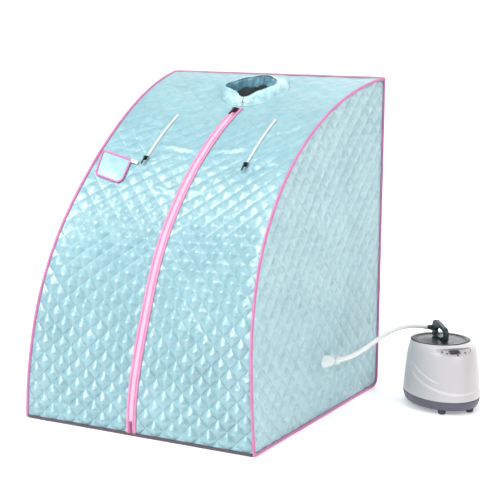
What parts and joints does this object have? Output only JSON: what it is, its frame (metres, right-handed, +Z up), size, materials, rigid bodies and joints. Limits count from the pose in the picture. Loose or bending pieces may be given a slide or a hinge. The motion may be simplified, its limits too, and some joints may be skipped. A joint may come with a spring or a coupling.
{
  "type": "portable steam sauna",
  "caption": "Curved quilted satin cabin on a push-fit tube frame with front zip, neck collar and arm zips, and a steamer joined to it by a hose.",
  "frame": {"origin": "centre of the tent floor, on the ground", "axes": "+X towards the tent's right side and the steamer, seen from the front; front faces -Y; +Z up"},
  "size_m": [1.0603, 0.8403, 0.9181],
  "materials": {
    "aqua_satin": "quilted polyester satin, soft sheen",
    "lining": "coated waterproof cloth",
    "piping": "pink woven binding",
    "white_tape": "white woven tape",
    "dark_metal": "dark plated zinc, satin",
    "tube": "powder-coated thin steel tube",
    "white_plastic": "white moulded plastic, half gloss",
    "grey_plastic": "dark violet-grey moulded plastic",
    "silver_plastic": "pale silver moulded plastic",
    "display": "dark display window",
    "lid_plastic": "dark green-grey moulded plastic",
    "silicone": "translucent silicone",
    "hose": "white silicone hose",
    "steel": "stainless steel",
    "circuit_board": "laminate board"
  },
  "bodies": {
    "root": {"back_panel": "aqua_satin", "left_side_panel": "aqua_satin", "right_side_panel": "aqua_satin", "front_left_panel": "aqua_satin", "front_right_panel": "aqua_satin", "top_panel": "aqua_satin", "neck_collar": "aqua_satin", "pocket": "aqua_satin", "floor_panel": "lining", "left_seam_piping": "piping", "right_seam_piping": "piping", "front_hem_piping": "piping", "back_top_piping": "piping", "front_zip_left_tape": "piping", "front_zip_right_tape": "piping", "left_arm_zip": "white_tape", "right_arm_zip": "white_tape", "port_sleeve": "white_tape", "port_tie": "white_tape", "left_bow_pole": "tube", "right_bow_pole": "tube", "left_back_post": "tube", "right_back_post": "tube", "left_base_rail": "tube", "right_base_rail": "tube", "front_base_rail": "tube", "back_base_rail": "tube", "top_back_rail": "tube", "front_left_corner": "white_plastic", "front_right_corner": "white_plastic", "back_left_corner": "white_plastic", "back_right_corner": "white_plastic", "top_left_corner": "white_plastic", "top_right_corner": "white_plastic", "steam_outlet": "white_plastic", "steamer_housing": "white_plastic", "steamer_base": "grey_plastic", "power_inlet": "grey_plastic", "control_panel": "silver_plastic", "display_window": "display", "steam_hose": "hose", "boiler_pot": "steel", "heating_element": "steel", "control_board": "circuit_board"},
    "steamer_lid": {"lid_cover": "lid_plastic", "lid_gasket": "silicone", "lid_handle": "lid_plastic", "steam_nozzle": "lid_plastic"},
    "front_zip_slider": {"front_zip_slider": "dark_metal"},
    "front_zip_pull": {"front_zip_pull": "dark_metal"},
    "left_arm_zip_slider": {"left_arm_zip_slider": "dark_metal"},
    "left_arm_zip_pull": {"left_arm_zip_pull": "dark_metal"},
    "right_arm_zip_slider": {"right_arm_zip_slider": "dark_metal"},
    "right_arm_zip_pull": {"right_arm_zip_pull": "dark_metal"},
    "steamer_button_1": {"steamer_button_1": "grey_plastic"},
    "steamer_button_2": {"steamer_button_2": "grey_plastic"},
    "steamer_button_3": {"steamer_button_3": "grey_plastic"},
    "steamer_button_4": {"steamer_button_4": "grey_plastic"}
  },
  "joints": [
    {"name": "front_zip_travel", "type": "hinge", "parent": "root", "child": "front_zip_slider", "pos_m": [0, 0.50926, -0.04739], "axis": [1, 0, 0], "range_deg": [0, 26]},
    {"name": "front_zip_pull_swing", "type": "hinge", "parent": "front_zip_slider", "child": "front_zip_pull", "pos_m": [0, 0.13383, 0.8279], "axis": [1, 0, 0], "range_deg": [-100, 0]},
    {"name": "left_arm_zip_travel", "type": "hinge", "parent": "root", "child": "left_arm_zip_slider", "pos_m": [-0.157, 0.50926, -0.04739], "axis": [1, 0, 0], "range_deg": [-11.5, 0]},
    {"name": "left_arm_zip_pull_swing", "type": "hinge", "parent": "left_arm_zip_slider", "child": "left_arm_zip_pull", "pos_m": [-0.157, -0.09451, 0.69972], "axis": [1, 0, 0], "range_deg": [-100, 0]},
    {"name": "right_arm_zip_travel", "type": "hinge", "parent": "root", "child": "right_arm_zip_slider", "pos_m": [0.157, 0.50926, -0.04739], "axis": [1, 0, 0], "range_deg": [-11.5, 0]},
    {"name": "right_arm_zip_pull_swing", "type": "hinge", "parent": "right_arm_zip_slider", "child": "right_arm_zip_pull", "pos_m": [0.157, -0.09451, 0.69972], "axis": [1, 0, 0], "range_deg": [-100, 0]},
    {"name": "lid_lift", "type": "slide", "parent": "root", "child": "steamer_lid", "axis": [0, 0, 1], "range_m": [0, 0.1], "deforming": ["steam_hose"]},
    {"name": "button_1_press", "type": "slide", "parent": "root", "child": "steamer_button_1", "axis": [-0.387, 0.4036, -0.829], "range_m": [0, 0.0012], "stiffness_N_per_m": 250},
    {"name": "button_2_press", "type": "slide", "parent": "root", "child": "steamer_button_2", "axis": [-0.387, 0.4036, -0.829], "range_m": [0, 0.0012], "stiffness_N_per_m": 250},
    {"name": "button_3_press", "type": "slide", "parent": "root", "child": "steamer_button_3", "axis": [-0.387, 0.4036, -0.829], "range_m": [0, 0.0012], "stiffness_N_per_m": 250},
    {"name": "button_4_press", "type": "slide", "parent": "root", "child": "steamer_button_4", "axis": [-0.387, 0.4036, -0.829], "range_m": [0, 0.0012], "stiffness_N_per_m": 250}
  ]
}
